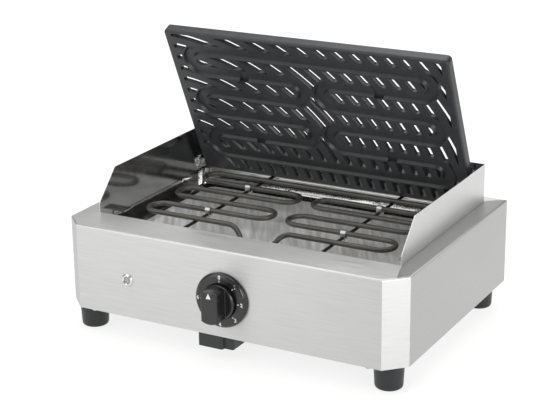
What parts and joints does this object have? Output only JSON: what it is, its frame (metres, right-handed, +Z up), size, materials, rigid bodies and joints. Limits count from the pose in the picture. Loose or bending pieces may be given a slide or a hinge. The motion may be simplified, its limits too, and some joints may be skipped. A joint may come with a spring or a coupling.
{
  "type": "electric table-top grill with a grease drawer",
  "caption": "Low steel electric grill with a cast-iron grate hinged open over a bent-tube element, a splash guard, a round control knob and a small grease drawer.",
  "frame": {"origin": "on the surface under the feet, at the middle of the overall width and depth", "axes": "+X to the right of someone facing the knob, +Y to the rear, +Z up"},
  "size_m": [0.47, 0.3714, 0.357],
  "materials": {
    "brushed_steel": "satin brushed stainless sheet",
    "bright_steel": "bright polished stainless sheet",
    "cast_iron": "black cast iron, matt enamel",
    "element_sheath": "oxidised heat-resisting steel tube, olive grey",
    "dark_steel": "dark heat-tinted steel rod",
    "zinc_steel": "zinc-plated steel",
    "galvanised": "plain galvanised sheet",
    "black_enamel": "black enamelled sheet",
    "black_moulding": "black heat-resisting moulding, satin",
    "black_gloss": "black phenolic moulding, semi gloss",
    "black_rubber": "black rubber, matt",
    "ceramic": "white electrical ceramic",
    "white_moulding": "off-white electrical moulding",
    "brass": "bright brass",
    "chrome": "chromium plate",
    "lens": "clear lens"
  },
  "bodies": {
    "root": {"casing_shell": "brushed_steel", "rear_panel": "brushed_steel", "base_plate": "galvanised", "splash_guard": "bright_steel", "hinge_bracket_left": "bright_steel", "hinge_bracket_right": "bright_steel", "grate_rest_left": "bright_steel", "grate_rest_right": "bright_steel", "reflector_pan": "bright_steel", "drain_chute": "galvanised", "heating_element": "element_sheath", "terminal_bushes": "ceramic", "terminal_pins": "zinc_steel", "element_plate": "zinc_steel", "element_screws": "zinc_steel", "element_clips": "bright_steel", "support_rod_left": "dark_steel", "support_rod_right": "dark_steel", "drawer_rail_left": "galvanised", "drawer_rail_right": "galvanised", "dial_ring": "black_gloss", "regulator_body": "white_moulding", "regulator_screws": "zinc_steel", "regulator_tabs": "brass", "lamp_bezel": "chrome", "lamp_lens": "lens", "lamp_body": "black_moulding", "foot_left_front": "black_rubber", "foot_left_rear": "black_rubber", "foot_right_front": "black_rubber", "foot_right_rear": "black_rubber", "foot_screws": "zinc_steel", "foot_nuts": "zinc_steel", "case_screws": "zinc_steel", "cord_gland": "black_moulding", "gland_nut": "black_moulding", "terminal_block": "white_moulding", "earth_stud": "brass"},
    "grate": {"grate_casting": "cast_iron", "grate_pin_left": "zinc_steel", "grate_pin_right": "zinc_steel"},
    "drawer": {"drawer_front": "black_moulding", "drawer_cup": "black_enamel"},
    "knob": {"knob_grip": "black_gloss", "regulator_shaft": "zinc_steel"}
  },
  "joints": [
    {"name": "grate_hinge", "type": "hinge", "parent": "root", "child": "grate", "pos_m": [0, 0.1482, 0.1432], "axis": [-1, 0, 0], "range_deg": [-65.3, 23.7]},
    {"name": "drawer_slide", "type": "slide", "parent": "root", "child": "drawer", "axis": [0, -1, 0], "range_m": [0, 0.12]},
    {"name": "knob_turn", "type": "hinge", "parent": "root", "child": "knob", "pos_m": [0, -0.1527, 0.0815], "axis": [0, 1, 0], "range_deg": [0, 270]}
  ]
}
